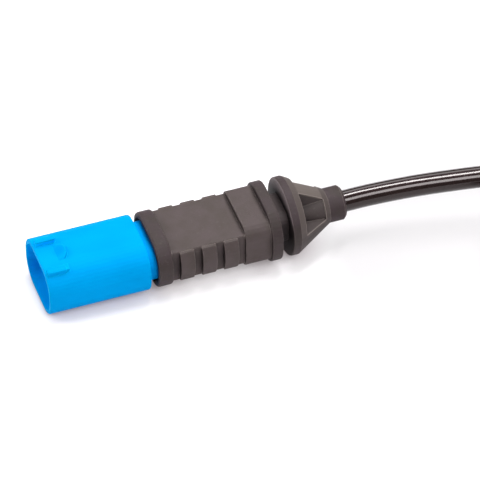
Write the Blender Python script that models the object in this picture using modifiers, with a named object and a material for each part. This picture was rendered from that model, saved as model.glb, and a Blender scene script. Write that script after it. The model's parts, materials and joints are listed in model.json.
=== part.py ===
"""Brake pad wear sensor: blue connector, black rubber boot, cable and sensor head.

The connector lies on its wide side, with +X along its axis from the mouth to the
cable, +Y across it and +Z up. Each piece of the connector is modelled around the
connector's own axis, starting at the middle of the mouth, and hangs on one empty.
The empty tips them all by the few degrees that the boot's round disc lifts them.
"""
import math

import bmesh
import bpy
from mathutils import Matrix, Vector

MM = 0.001

# Clearances and small edges
SEAT_GAP = 0.3 * MM
INNER_GAP = 0.15 * MM
OUTER_EDGE = 0.3 * MM

# Blue housing: mouth end
SHROUD_WIDTH = 16.7 * MM
SHROUD_HEIGHT = 11.4 * MM
SHROUD_CORNER = 5.1 * MM
SHROUD_LENGTH = 21.3 * MM
SHROUD_WALL = 0.9 * MM
SOCKET_DEPTH = 16.0 * MM
SOCKET_FLOOR = 2.4 * MM

# Keying ribs and latch ramp on the flat top of the shroud
FAR_KEY_WIDTH = 1.3 * MM
FAR_KEY_RISE = 1.1 * MM
FAR_KEY_Y = 3.25 * MM
FAR_KEY_START = 0.5 * MM
FAR_KEY_END = 4.7 * MM
NEAR_KEY_WIDTH = 1.6 * MM
NEAR_KEY_RISE = 0.4 * MM
NEAR_KEY_Y = -5.0 * MM
NEAR_KEY_START = 0.4 * MM
NEAR_KEY_END = 4.5 * MM
KEY_FOOT_WIDTH = 1.7 * MM
KEY_FOOT_LENGTH = 0.6 * MM
KEY_FOOT_SHIFT = 0.25 * MM
KEY_EDGE = 0.38 * MM
RAMP_RADIUS = 2.6 * MM
RAMP_LENGTH = 2.3 * MM
RAMP_START = 3.7 * MM
RAMP_Y = -0.3 * MM
RAMP_RISE = 0.95 * MM
RAMP_CURVE = 1.5
RAMP_EDGE = 0.3 * MM

# Blue housing: the part that the boot holds
NECK_INSET = 1.75 * MM
NECK_LENGTH = 3.3 * MM
SPIGOT_WIDTH = 9.6 * MM
SPIGOT_HEIGHT = 5.4 * MM
SPIGOT_CORNER = 1.6 * MM
CHAMBER_RADIUS = 1.7 * MM
CONTACT_SPACING = 5.0 * MM

# Contact pins
PIN_RADIUS = 0.75 * MM
PIN_SETBACK = 8.0 * MM
PIN_TAPER = 1.0 * MM
PIN_TIP_RADIUS = 0.4 * MM
PIN_SHOULDER_RADIUS = 1.45 * MM
PIN_SHOULDER_LENGTH = 0.9 * MM
PIN_WAIST_RADIUS = 0.9 * MM
PIN_WAIST_LENGTH = 6.2 * MM
BARREL_RADIUS = 1.2 * MM
BARREL_LENGTH = 4.6 * MM
BARREL_BORE_DEPTH = 3.6 * MM

# Cable and cores
CABLE_RADIUS = 2.25 * MM
CORE_RADIUS = 0.65 * MM
CONDUCTOR_RADIUS = 0.35 * MM
CONDUCTOR_BARE = 2.8 * MM
CONDUCTOR_BURIED = 2.6 * MM
CORE_SPACING_IN_SHEATH = 2.0 * MM
SHEATH_END_LENGTH = 18.0 * MM
SHEATH_SETBACK = 0.8 * MM

# Wire seals
SEAL_LENGTH = 3.0 * MM
SEAL_SETBACK = 0.5 * MM
SEAL_LIPS = 3
SEAL_VALLEY = 0.25 * MM

# Rubber boot: collar and ribbed grip
COLLAR_SETBACK = 1.6 * MM
COLLAR_LENGTH = 3.2 * MM
COLLAR_EDGE = 0.5 * MM
LEAD_IN = 0.5 * MM
LEAD_IN_LENGTH = 1.0 * MM
GRIP_RADIUS = 7.95 * MM
GRIP_HEIGHT = 8.0 * MM
GRIP_CORE_WIDTH = 13.1 * MM
GRIP_CORE_CORNER = 0.4 * MM
RIB_COUNT = 3
RIB_LENGTH = 3.05 * MM
RIB_DROP = 0.18 * MM
RIB_EDGE = 0.25 * MM
GROOVE_LENGTH = 1.6 * MM

# Rubber boot: band, oval flange, grooved neck and disc
BAND_WIDTH = 14.5 * MM
BAND_HEIGHT = 10.5 * MM
BAND_CORNER = 2.7 * MM
BAND_LENGTH = 5.4 * MM
BAND_EDGE = 0.2 * MM
FLANGE_WIDTH = 16.6 * MM
FLANGE_HEIGHT = 13.4 * MM
FLANGE_CORNER = 5.6 * MM
FLANGE_LENGTH = 2.3 * MM
NECK_GROOVE_WIDTH = 9.2 * MM
NECK_GROOVE_HEIGHT = 8.0 * MM
NECK_GROOVE_CORNER = 2.5 * MM
NECK_GROOVE_LENGTH = 2.3 * MM
DISC_RADIUS = 8.2 * MM
DISC_LENGTH = 1.6 * MM

# Rubber boot: cone with a recess on each side of its top web, and the cable's collar
CONE_LENGTH = 7.8 * MM
CONE_END_RADIUS = 3.7 * MM
CABLE_COLLAR_RADIUS = 3.6 * MM
CABLE_COLLAR_LENGTH = 3.7 * MM
CABLE_COLLAR_CHAMFER = 0.5 * MM
RECESS_SETBACK = 1.4 * MM
RECESS_LENGTH = 5.25 * MM
RECESS_FLOOR_RADIUS = 3.5 * MM
RECESS_END_DEPTH = 0.35 * MM
RECESS_BOTTOM = 0.5 * MM
TOP_WEB_WIDTH = 3.4 * MM

# Free cable, after the boot
CABLE_JOINT_GAP = 0.3 * MM
COIL_CENTRE_X = 117.0 * MM
COIL_CENTRE_Y = -30.2 * MM
COIL_RADIUS = 23.5 * MM
COIL_STRANDS_ACROSS = 2
TAIL_START_ANGLE = math.radians(-35)
TAIL_START_RADIUS = 22.3 * MM
TAIL_END_ANGLE = math.radians(-100)
TAIL_END_RADIUS = 21.3 * MM

# Sensor head
SLEEVE_LENGTH = 6.0 * MM
SLEEVE_RADIUS = 3.3 * MM
SLEEVE_END_RADIUS = 2.9 * MM
HEAD_WIDTH = 8.0 * MM
HEAD_THICKNESS = 6.4 * MM
HEAD_CORNER = 1.0 * MM
HEAD_LENGTH = 7.5 * MM
HEAD_BORE_DEPTH = 4.0 * MM
NOSE_WIDTH = 6.0 * MM
NOSE_THICKNESS = 4.8 * MM
NOSE_LENGTH = 6.5 * MM
LOOP_WIRE_RADIUS = 0.4 * MM
LOOP_GROOVE_WIDTH = 1.2 * MM
LOOP_GROOVE_DEPTH = 0.95 * MM
LOOP_BEND = 0.9 * MM
CLIP_THICKNESS = 0.5 * MM
CLIP_LENGTH = 4.2 * MM
CLIP_SETBACK = 1.4 * MM
CLIP_FLARE = 0.9 * MM

# Where the pieces meet along the connector's axis
CHAMBER_START = SOCKET_DEPTH + SOCKET_FLOOR
NECK_END = SHROUD_LENGTH + NECK_LENGTH
COLLAR_START = SHROUD_LENGTH + COLLAR_SETBACK
COLLAR_END = COLLAR_START + COLLAR_LENGTH
RIB_PITCH = RIB_LENGTH + GROOVE_LENGTH
GRIP_END = COLLAR_END + RIB_COUNT * RIB_PITCH + GROOVE_LENGTH
BAND_END = GRIP_END + BAND_LENGTH
FLANGE_END = BAND_END + FLANGE_LENGTH
DISC_START = FLANGE_END + NECK_GROOVE_LENGTH
CONE_START = DISC_START + DISC_LENGTH
CABLE_COLLAR_START = CONE_START + CONE_LENGTH
BOOT_END = CABLE_COLLAR_START + CABLE_COLLAR_LENGTH
SHEATH_END = BOOT_END - SHEATH_SETBACK
SHEATH_START = SHEATH_END - SHEATH_END_LENGTH

BARREL_START = CHAMBER_START + SEAT_GAP + PIN_SHOULDER_LENGTH + PIN_WAIST_LENGTH
BARREL_END = BARREL_START + BARREL_LENGTH
CORE_START = BARREL_END + SEAT_GAP
SEAL_START = CORE_START + SEAL_SETBACK
SPIGOT_END = SEAL_START + SEAL_LENGTH

# Length by which a joined solid runs into the next, and a cutter past its face
JOIN = 0.4 * MM

# How the connector lies: the mouth's lower edge and the disc touch the surface
REST_ANGLE = math.atan2(DISC_RADIUS - SHROUD_HEIGHT / 2, DISC_START)
MOUTH_MIDDLE_HEIGHT = (OUTER_EDGE * (1 - math.sin(REST_ANGLE))
                       + (SHROUD_HEIGHT / 2 - OUTER_EDGE) * math.cos(REST_ANGLE))
FRONT_REACH = -SHROUD_HEIGHT / 2 * math.sin(REST_ANGLE)
BACK_REACH = (BOOT_END * math.cos(REST_ANGLE)
              + (CABLE_COLLAR_RADIUS - CABLE_COLLAR_CHAMFER) * math.sin(REST_ANGLE))
MOUTH_X = -(FRONT_REACH + BACK_REACH) / 2

ROUND_STEPS = 48
SMALL_STEPS = 20


def start_clean():
    """Remove what the file holds and make the two collections."""
    for obj in list(bpy.data.objects):
        bpy.data.objects.remove(obj, do_unlink=True)
    parts = bpy.data.collections.new("brake_pad_wear_sensor")
    cutters = bpy.data.collections.new("cutters")
    for group in (parts, cutters):
        bpy.context.scene.collection.children.link(group)
    return parts, cutters


PARTS, CUTTERS = start_clean()


def make_material(name, colour, roughness, metallic=0.0):
    """A Principled material with the piece's colour."""
    material = bpy.data.materials.new(name)
    material.use_nodes = True
    shader = material.node_tree.nodes["Principled BSDF"]
    shader.inputs["Base Color"].default_value = (*colour, 1.0)
    shader.inputs["Roughness"].default_value = roughness
    shader.inputs["Metallic"].default_value = metallic
    material.diffuse_color = (*colour, 1.0)
    return material


BLUE_PLASTIC = make_material("blue_plastic", (0.0, 0.40, 0.90), 0.35)
BLACK_RUBBER = make_material("black_rubber", (0.092, 0.078, 0.072), 0.7)
CABLE_SHEATH = make_material("cable_sheath", (0.022, 0.016, 0.014), 0.2)
TINNED_BRASS = make_material("tinned_brass", (0.75, 0.68, 0.55), 0.3, 1.0)
COPPER = make_material("copper", (0.85, 0.42, 0.25), 0.35, 1.0)
CORE_PLASTIC = make_material("core_plastic", (0.10, 0.05, 0.03), 0.45)
SEAL_RUBBER = make_material("seal_rubber", (0.55, 0.20, 0.06), 0.6)
HEAD_PLASTIC = make_material("head_plastic", (0.03, 0.03, 0.032), 0.5)
SPRING_STEEL = make_material("spring_steel", (0.60, 0.60, 0.58), 0.3, 1.0)


def make_axis(name, location, tilt=0.0, heading=0.0):
    """An empty whose local X is the axis that a group of pieces is built on."""
    axis = bpy.data.objects.new(name, None)
    axis.location = location
    axis.rotation_euler = (0.0, -tilt, heading)
    PARTS.objects.link(axis)
    return axis


def add_solid(name, mesh, parent, material=None):
    """Put a mesh on its axis, as a piece or, without a material, as a cutter."""
    obj = bpy.data.objects.new(name, mesh)
    if parent is not None:
        obj.parent = parent
    if material is None:
        CUTTERS.objects.link(obj)
        obj.hide_render = True
        obj.display_type = "WIRE"
    else:
        PARTS.objects.link(obj)
        mesh.materials.clear()
        mesh.materials.append(material)
    return obj


def finish_mesh(mesh, flat_caps):
    """Weld seams, make each flat end one face, face outward and shade smoothly."""
    work = bmesh.new()
    work.from_mesh(mesh)
    bmesh.ops.remove_doubles(work, verts=work.verts, dist=1e-7)
    if flat_caps:
        bmesh.ops.dissolve_limit(
            work, angle_limit=math.radians(0.2), verts=work.verts, edges=work.edges)
    bmesh.ops.recalc_face_normals(work, faces=work.faces)
    work.to_mesh(mesh)
    work.free()
    mesh.shade_smooth()
    mesh.set_sharp_from_angle(angle=math.radians(35))


def mesh_of(name, data, placement):
    """The mesh that a curve, or a mesh with modifiers, works out to."""
    holder = bpy.data.objects.new(name + "_maker", data)
    bpy.context.scene.collection.objects.link(holder)
    if isinstance(data, bpy.types.Mesh):
        spin = holder.modifiers.new("spin", "SCREW")
        spin.steps = ROUND_STEPS
        spin.render_steps = ROUND_STEPS
        spin.use_merge_vertices = True
        spin.merge_threshold = 1e-6
    holder.matrix_world = placement
    bpy.context.view_layer.update()
    evaluated = holder.evaluated_get(bpy.context.evaluated_depsgraph_get())
    mesh = bpy.data.meshes.new_from_object(evaluated)
    mesh.transform(holder.matrix_world)
    mesh.name = name
    bpy.data.objects.remove(holder, do_unlink=True)
    return mesh


# An outline is drawn flat, in X and Y: this turns it to lie across the axis
ACROSS_AXIS = Matrix(((0, 0, 1), (1, 0, 0), (0, 1, 0))).to_4x4()


def plate(name, outline, start, end, parent, material=None):
    """An outline in the Y-Z plane, given a thickness from start to end along X."""
    curve = bpy.data.curves.new(name, "CURVE")
    curve.dimensions = "2D"
    curve.fill_mode = "BOTH"
    curve.extrude = (end - start) / 2
    spline = curve.splines.new("POLY")
    spline.points.add(len(outline) - 1)
    for point, (y, z) in zip(spline.points, outline):
        point.co = (y, z, 0.0, 1.0)
    spline.use_cyclic_u = True
    placement = Matrix.Translation(((start + end) / 2, 0, 0)) @ ACROSS_AXIS
    mesh = mesh_of(name, curve, placement)
    finish_mesh(mesh, flat_caps=True)
    return add_solid(name, mesh, parent, material)


def rounded_outline(width, height, radius, steps=8):
    """A rectangle with round corners, as points in order around it."""
    radius = min(radius, width / 2 * 0.999, height / 2 * 0.999)
    points = []
    for corner in range(4):
        middle_y = (width / 2 - radius) * (1 if corner in (0, 3) else -1)
        middle_z = (height / 2 - radius) * (1 if corner in (0, 1) else -1)
        for step in range(steps + 1):
            angle = math.radians(90) * (corner + step / steps)
            points.append((middle_y + radius * math.cos(angle),
                           middle_z + radius * math.sin(angle)))
    return points


def barrel_outline(radius, height, steps=9):
    """A circle cut flat above and below."""
    reach = math.asin(height / 2 / radius)
    points = []
    for side in (0.0, math.pi):
        for step in range(steps + 1):
            angle = side - reach + 2 * reach * step / steps
            points.append((radius * math.cos(angle), radius * math.sin(angle)))
    return points


def turned(name, profile, parent, material=None, y=0.0):
    """Spin (radius, place along the axis) points around a line beside the axis."""
    mesh = bpy.data.meshes.new(name)
    vertices = [(radius, 0.0, -place) for radius, place in profile]
    edges = [(i, i + 1) for i in range(len(vertices) - 1)]
    mesh.from_pydata(vertices, edges, [])
    placement = Matrix.Translation((0, y, 0)) @ Matrix.Rotation(-math.pi / 2, 4, "Y")
    mesh = mesh_of(name, mesh, placement)
    finish_mesh(mesh, flat_caps=False)
    return add_solid(name, mesh, parent, material)


def ring_profile(inner, outer_points):
    """A profile closed through its bore, so that it spins into a ring."""
    first = outer_points[0]
    last = outer_points[-1]
    return [(inner, first[1]), *outer_points, (inner, last[1]), (inner, first[1])]


def round_bar(name, radius, start, end, parent, y=0.0, material=None,
              steps=SMALL_STEPS):
    """A plain cylinder along the axis."""
    mesh = bpy.data.meshes.new(name)
    work = bmesh.new()
    bmesh.ops.create_cone(work, cap_ends=True, segments=steps, radius1=radius,
                          radius2=radius, depth=end - start)
    bmesh.ops.rotate(work, verts=work.verts, matrix=Matrix.Rotation(math.pi / 2, 3, "Y"))
    bmesh.ops.translate(work, verts=work.verts, vec=((start + end) / 2, y, 0.0))
    work.to_mesh(mesh)
    work.free()
    finish_mesh(mesh, flat_caps=False)
    return add_solid(name, mesh, parent, material)


def boxes(name, corner_pairs, parent):
    """Separate boxes, each from its low to its high corner, as one solid."""
    mesh = bpy.data.meshes.new(name)
    work = bmesh.new()
    for low, high in corner_pairs:
        low, high = Vector(low), Vector(high)
        made = bmesh.ops.create_cube(work, size=1.0)
        bmesh.ops.scale(work, verts=made["verts"], vec=high - low)
        bmesh.ops.translate(work, verts=made["verts"], vec=(low + high) / 2)
    work.to_mesh(mesh)
    work.free()
    return add_solid(name, mesh, parent)


def loft(name, sections, parent):
    """A closed solid through outlines of equal count, each at its place along X."""
    mesh = bpy.data.meshes.new(name)
    work = bmesh.new()
    rings = [[work.verts.new((place, y, z)) for y, z in outline]
             for place, outline in sections]
    for first, second in zip(rings, rings[1:]):
        for i in range(len(first)):
            j = (i + 1) % len(first)
            work.faces.new((first[i], first[j], second[j], second[i]))
    work.faces.new(rings[0])
    work.faces.new(rings[-1])
    work.to_mesh(mesh)
    work.free()
    finish_mesh(mesh, flat_caps=False)
    return add_solid(name, mesh, parent)


def round_edges(obj, width, segments=3):
    """Round the crisp edges of a solid."""
    bevel = obj.modifiers.new("round_edges", "BEVEL")
    bevel.width = width
    bevel.segments = segments
    bevel.limit_method = "ANGLE"
    bevel.angle_limit = math.radians(50)
    return obj


def combine(obj, operation, others):
    """Weld other solids onto this one or cut them out of it."""
    for other in others:
        change = obj.modifiers.new(other.name, "BOOLEAN")
        change.operation = operation
        change.solver = "EXACT"
        change.object = other


def route_points(route, spacing):
    """Points at even steps along a smooth curve through the route's points."""
    route = [Vector(point) for point in route]
    ends = [2 * route[0] - route[1], *route, 2 * route[-1] - route[-2]]
    points = [route[0]]
    for before, first, second, after in zip(ends, ends[1:], ends[2:], ends[3:]):
        steps = max(1, round((second - first).length / spacing))
        for step in range(1, steps + 1):
            t = step / steps
            points.append(0.5 * (2 * first + (second - before) * t
                                 + (2 * before - 5 * first + 4 * second - after) * t ** 2
                                 + (3 * first - before - 3 * second + after) * t ** 3))
    return points


def round_curve(name, points, radius, resolution):
    """A curve along the points with a round section, closed at both ends."""
    curve = bpy.data.curves.new(name, "CURVE")
    curve.dimensions = "3D"
    curve.bevel_depth = radius
    curve.bevel_resolution = resolution
    curve.use_fill_caps = True
    spline = curve.splines.new("POLY")
    spline.points.add(len(points) - 1)
    for point, place in zip(spline.points, points):
        point.co = (*place, 1.0)
    return curve


def wire(name, points, radius, parent, material, resolution=2):
    """A bent wire as a mesh."""
    curve = round_curve(name, points, radius, resolution)
    mesh = mesh_of(name, curve, Matrix.Identity(4))
    finish_mesh(mesh, flat_caps=False)
    return add_solid(name, mesh, parent, material)


def free_cable(name, route):
    """A stretch of free cable, as a curve through the route's points."""
    points = route_points(route, 4 * CABLE_RADIUS)
    curve = round_curve(name, points, CABLE_RADIUS, 2)
    curve.materials.append(CABLE_SHEATH)
    PARTS.objects.link(bpy.data.objects.new(name, curve))


def latch_ramp(parent):
    """A half-round ramp: it rises from the mouth to its steep, soft-edged back."""
    mesh = bpy.data.meshes.new("latch_ramp")
    work = bmesh.new()
    angles = [math.radians(90 - 180 * step / 12) for step in range(13)]
    foot = SHROUD_HEIGHT / 2 - JOIN
    rings = [[work.verts.new((RAMP_START + RAMP_LENGTH * math.cos(angle),
                              RAMP_Y + RAMP_RADIUS * math.sin(angle), foot))
              for angle in angles]]
    for turn in (0, 30, 60, 90):
        inset = RAMP_EDGE * (1 - math.cos(math.radians(turn)))
        drop = RAMP_EDGE * (1 - math.sin(math.radians(turn)))
        ring = []
        for angle in angles:
            rise = RAMP_RISE * max(0.0, math.cos(angle)) ** RAMP_CURVE
            height = SHROUD_HEIGHT / 2 + rise - drop - 0.02 * MM
            ring.append(work.verts.new(
                (RAMP_START + (RAMP_LENGTH - inset) * math.cos(angle),
                 RAMP_Y + (RAMP_RADIUS - inset) * math.sin(angle), height)))
        rings.append(ring)
    for low, high in zip(rings, rings[1:]):
        for i in range(len(angles)):
            j = (i + 1) % len(angles)
            work.faces.new((low[i], low[j], high[j], high[i]))
    work.faces.new(rings[0])
    bmesh.ops.triangulate(work, faces=[work.faces.new(rings[-1])])
    work.to_mesh(mesh)
    work.free()
    finish_mesh(mesh, flat_caps=False)
    return add_solid("latch_ramp", mesh, parent)


def connector_housing(axis):
    """Blue moulding: oval shroud with its socket, neck, and spigot with chambers."""
    shroud = plate("connector_housing",
                   rounded_outline(SHROUD_WIDTH, SHROUD_HEIGHT, SHROUD_CORNER, 10),
                   0.0, SHROUD_LENGTH, axis, BLUE_PLASTIC)
    socket = plate("socket",
                   rounded_outline(SHROUD_WIDTH - 2 * SHROUD_WALL,
                                   SHROUD_HEIGHT - 2 * SHROUD_WALL,
                                   SHROUD_CORNER - SHROUD_WALL, 10),
                   -JOIN, SOCKET_DEPTH, axis)
    neck = plate("neck",
                 rounded_outline(SHROUD_WIDTH - 2 * NECK_INSET,
                                 SHROUD_HEIGHT - 2 * NECK_INSET,
                                 SHROUD_CORNER - NECK_INSET),
                 SHROUD_LENGTH - JOIN, NECK_END, axis)
    spigot = plate("spigot",
                   rounded_outline(SPIGOT_WIDTH, SPIGOT_HEIGHT, SPIGOT_CORNER, 4),
                   NECK_END - JOIN, SPIGOT_END, axis)
    keys = round_edges(boxes("keys", key_corners(), axis), KEY_EDGE, 2)
    foot = round_edges(boxes("key_foot", foot_corners(), axis), KEY_EDGE / 2)
    rounding = round_edges(shroud, OUTER_EDGE)
    combine(shroud, "UNION", [neck, spigot, keys, foot, latch_ramp(axis)])
    openings = [socket]
    for side, y in contact_places():
        openings.append(round_bar("pin_hole_" + side, PIN_RADIUS + INNER_GAP,
                                  SOCKET_DEPTH - JOIN, CHAMBER_START + JOIN, axis, y))
        openings.append(round_bar("chamber_" + side, CHAMBER_RADIUS,
                                  CHAMBER_START, SPIGOT_END + JOIN, axis, y))
    combine(shroud, "DIFFERENCE", openings)
    return rounding


def key_corners():
    """Low and high corners of the two keying ribs."""
    corners = []
    for y, width, rise, start, end in (
            (FAR_KEY_Y, FAR_KEY_WIDTH, FAR_KEY_RISE, FAR_KEY_START, FAR_KEY_END),
            (NEAR_KEY_Y, NEAR_KEY_WIDTH, NEAR_KEY_RISE, NEAR_KEY_START, NEAR_KEY_END)):
        corners.append(((start, y - width / 2, SHROUD_HEIGHT / 2 - 1.5 * MM),
                        (end, y + width / 2, SHROUD_HEIGHT / 2 + rise)))
    return corners


def foot_corners():
    """Low and high corners of the wider foot at the end of the near rib."""
    middle = NEAR_KEY_Y + KEY_FOOT_SHIFT
    return [((NEAR_KEY_END - KEY_EDGE, middle - KEY_FOOT_WIDTH / 2,
              SHROUD_HEIGHT / 2 - 1.6 * MM),
             (NEAR_KEY_END + KEY_FOOT_LENGTH, middle + KEY_FOOT_WIDTH / 2,
              SHROUD_HEIGHT / 2 + NEAR_KEY_RISE / 2))]


def contact_places():
    """The two contacts: the side's name and its place across the connector."""
    return (("left", CONTACT_SPACING / 2), ("right", -CONTACT_SPACING / 2))


def contact_pin(side, y, axis):
    """A turned contact: tapered pin, stop shoulder, waist and crimp barrel."""
    bore = CONDUCTOR_RADIUS + INNER_GAP
    shoulder = CHAMBER_START + SEAT_GAP
    profile = [(0.0, PIN_SETBACK),
               (PIN_TIP_RADIUS, PIN_SETBACK),
               (PIN_RADIUS, PIN_SETBACK + PIN_TAPER),
               (PIN_RADIUS, shoulder),
               (PIN_SHOULDER_RADIUS, shoulder),
               (PIN_SHOULDER_RADIUS, shoulder + PIN_SHOULDER_LENGTH),
               (PIN_WAIST_RADIUS, shoulder + PIN_SHOULDER_LENGTH),
               (PIN_WAIST_RADIUS, BARREL_START),
               (BARREL_RADIUS, BARREL_START),
               (BARREL_RADIUS, BARREL_END),
               (bore, BARREL_END),
               (bore, BARREL_END - BARREL_BORE_DEPTH),
               (0.0, BARREL_END - BARREL_BORE_DEPTH)]
    return turned("contact_pin_" + side, profile, axis, TINNED_BRASS, y)


def wire_seal(side, y, axis):
    """A ribbed ring that closes the chamber behind the contact."""
    outer = CHAMBER_RADIUS - INNER_GAP
    points = []
    for lip in range(SEAL_LIPS):
        lip_start = SEAL_START + lip * SEAL_LENGTH / SEAL_LIPS
        points.append((outer - SEAL_VALLEY, lip_start))
        points.append((outer, lip_start + SEAL_LENGTH / SEAL_LIPS / 2))
    points.append((outer - SEAL_VALLEY, SEAL_START + SEAL_LENGTH))
    profile = ring_profile(CORE_RADIUS + INNER_GAP, points)
    return turned("wire_seal_" + side, profile, axis, SEAL_RUBBER, y)


def conductor(side, y, axis):
    """The bare wire end, from the crimp barrel into its insulation."""
    return round_bar("conductor_" + side, CONDUCTOR_RADIUS, BARREL_END - CONDUCTOR_BARE,
                     CORE_START + CONDUCTOR_BURIED, axis, y, COPPER, 12)


def core_insulation(side, y, axis):
    """An insulated core: it runs from its seal into the end of the cable."""
    inner_y = math.copysign(CORE_SPACING_IN_SHEATH / 2, y)
    run_start = SPIGOT_END + 1.0 * MM
    run_end = SHEATH_START - 1.0 * MM
    points = [(CORE_START, y, 0.0)]
    for step in range(9):
        t = step / 8
        ease = t * t * (3 - 2 * t)
        points.append((run_start + (run_end - run_start) * t,
                       y + (inner_y - y) * ease, 0.0))
    points.append((SHEATH_END, inner_y, 0.0))
    core = wire("core_insulation_" + side, points, CORE_RADIUS, axis, CORE_PLASTIC)
    bore = round_bar("core_bore_" + side, CONDUCTOR_RADIUS + INNER_GAP / 2,
                     CORE_START - JOIN, CORE_START + CONDUCTOR_BURIED + SEAT_GAP, axis, y,
                     steps=12)
    combine(core, "DIFFERENCE", [bore])
    return core


def cable_end(axis):
    """The sheathed cable's end inside the boot, with a passage for each core."""
    sheath = round_bar("cable_end", CABLE_RADIUS, SHEATH_START, SHEATH_END, axis,
                       material=CABLE_SHEATH, steps=24)
    passages = [round_bar("passage_" + side, CORE_RADIUS + INNER_GAP,
                          SHEATH_START - JOIN, SHEATH_END + JOIN, axis,
                          math.copysign(CORE_SPACING_IN_SHEATH / 2, y))
                for side, y in contact_places()]
    combine(sheath, "DIFFERENCE", passages)
    return sheath


def boot_grip(axis):
    """The grip's flat-topped core and its three finger ribs, as solids to join."""
    solids = [plate("grip_core",
                    rounded_outline(GRIP_CORE_WIDTH, GRIP_HEIGHT, GRIP_CORE_CORNER, 3),
                    COLLAR_END - JOIN, GRIP_END + JOIN, axis)]
    for number in range(RIB_COUNT):
        rib_start = COLLAR_END + GROOVE_LENGTH + number * RIB_PITCH
        rib = plate("finger_rib", barrel_outline(GRIP_RADIUS, GRIP_HEIGHT - 2 * RIB_DROP),
                    rib_start, rib_start + RIB_LENGTH, axis)
        solids.append(round_edges(rib, RIB_EDGE, 2))
    return solids


def boot_cone(axis):
    """The disc with its rounded rim, the cone and the cable's collar, as one solid."""
    profile = [(0.0, DISC_START)]
    for turn in (0, 30, 60, 90):
        profile.append((DISC_RADIUS - OUTER_EDGE * (1 - math.sin(math.radians(turn))),
                        DISC_START + OUTER_EDGE * (1 - math.cos(math.radians(turn)))))
    profile += [(DISC_RADIUS, CONE_START),
                (CONE_END_RADIUS, CABLE_COLLAR_START),
                (CABLE_COLLAR_RADIUS, CABLE_COLLAR_START),
                (CABLE_COLLAR_RADIUS, BOOT_END - CABLE_COLLAR_CHAMFER),
                (CABLE_COLLAR_RADIUS - CABLE_COLLAR_CHAMFER, BOOT_END),
                (0.0, BOOT_END)]
    return turned("disc_and_cone", profile, axis)


def boot_recesses(axis):
    """What is cut from the cone's upper half, on each side of its top web.

    It is part of a ring, whose floor climbs toward the cable and stops a little
    below the cone's own surface.
    """
    start = CONE_START + RECESS_SETBACK
    end = start + RECESS_LENGTH
    slope = (CONE_END_RADIUS - DISC_RADIUS) / CONE_LENGTH
    end_radius = DISC_RADIUS + slope * (end - CONE_START) - RECESS_END_DEPTH
    reach = DISC_RADIUS + 1.0 * MM
    ring = turned("recess_ring", [(RECESS_FLOOR_RADIUS, start), (reach, start),
                                  (reach, end), (end_radius, end),
                                  (RECESS_FLOOR_RADIUS, start)], axis)
    half_web = TOP_WEB_WIDTH / 2
    kept = boxes("kept_web", [((start - JOIN, -half_web, -2 * reach),
                               (end + JOIN, half_web, 2 * reach))], axis)
    lower = boxes("kept_lower_half", [((start - JOIN, -2 * reach, -2 * reach),
                                       (end + JOIN, 2 * reach, RECESS_BOTTOM))], axis)
    combine(ring, "DIFFERENCE", [kept, lower])
    return ring


def boot_cavity(axis):
    """The passage through the boot: it takes the housing's neck, spigot and cable."""
    inset = NECK_INSET - SEAT_GAP
    neck = rounded_outline(SHROUD_WIDTH - 2 * inset, SHROUD_HEIGHT - 2 * inset,
                           SHROUD_CORNER - inset)
    inset -= LEAD_IN
    mouth = rounded_outline(SHROUD_WIDTH - 2 * inset, SHROUD_HEIGHT - 2 * inset,
                            SHROUD_CORNER - inset)
    spigot = rounded_outline(SPIGOT_WIDTH + 2 * SEAT_GAP, SPIGOT_HEIGHT + 2 * SEAT_GAP,
                             SPIGOT_CORNER + SEAT_GAP)
    bore_radius = CABLE_RADIUS + SEAT_GAP
    bore = rounded_outline(2 * bore_radius, 2 * bore_radius, bore_radius)
    return loft("boot_cavity",
                [(COLLAR_START - JOIN, mouth), (COLLAR_START, mouth),
                 (COLLAR_START + LEAD_IN_LENGTH, neck), (NECK_END + SEAT_GAP, neck),
                 (NECK_END + SEAT_GAP, spigot), (SPIGOT_END + SEAT_GAP, spigot),
                 (SHEATH_START - SEAT_GAP, bore), (BOOT_END + JOIN, bore)], axis)


def rubber_boot(axis):
    """Black moulding: collar, ribbed grip, band, flange, grooved neck, disc, cone."""
    collar = plate("rubber_boot",
                   rounded_outline(SHROUD_WIDTH, SHROUD_HEIGHT, SHROUD_CORNER, 10),
                   COLLAR_START, COLLAR_END, axis, BLACK_RUBBER)
    round_edges(collar, COLLAR_EDGE)
    band = plate("band", rounded_outline(BAND_WIDTH, BAND_HEIGHT, BAND_CORNER, 5),
                 GRIP_END, BAND_END + JOIN, axis)
    flange = plate("oval_flange",
                   rounded_outline(FLANGE_WIDTH, FLANGE_HEIGHT, FLANGE_CORNER, 9),
                   BAND_END, FLANGE_END, axis)
    neck = plate("neck_groove",
                 rounded_outline(NECK_GROOVE_WIDTH, NECK_GROOVE_HEIGHT,
                                 NECK_GROOVE_CORNER, 5),
                 FLANGE_END - JOIN, DISC_START + JOIN, axis)
    round_edges(band, BAND_EDGE, 2)
    round_edges(flange, OUTER_EDGE)
    combine(collar, "UNION", [*boot_grip(axis), band, flange, neck, boot_cone(axis)])
    combine(collar, "DIFFERENCE", [boot_recesses(axis), boot_cavity(axis)])
    return collar


def from_mouth(along, y, z):
    """A place in the scene, with the distance along X taken from the mouth."""
    return Vector((MOUTH_X + along, y, z))


def on_axis(along):
    """The place in the scene of a point on the connector's tipped axis."""
    return from_mouth(along * math.cos(REST_ANGLE), 0.0,
                      MOUTH_MIDDLE_HEIGHT + along * math.sin(REST_ANGLE))


COIL_HEIGHT = 2 * CABLE_RADIUS * COIL_STRANDS_ACROSS
ON_COIL_HEIGHT = COIL_HEIGHT + SEAT_GAP + CABLE_RADIUS
CLIP_DEPTH = HEAD_THICKNESS / 2 + INNER_GAP + CLIP_THICKNESS
HEAD_HEIGHT = COIL_HEIGHT + SEAT_GAP + CLIP_DEPTH


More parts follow.
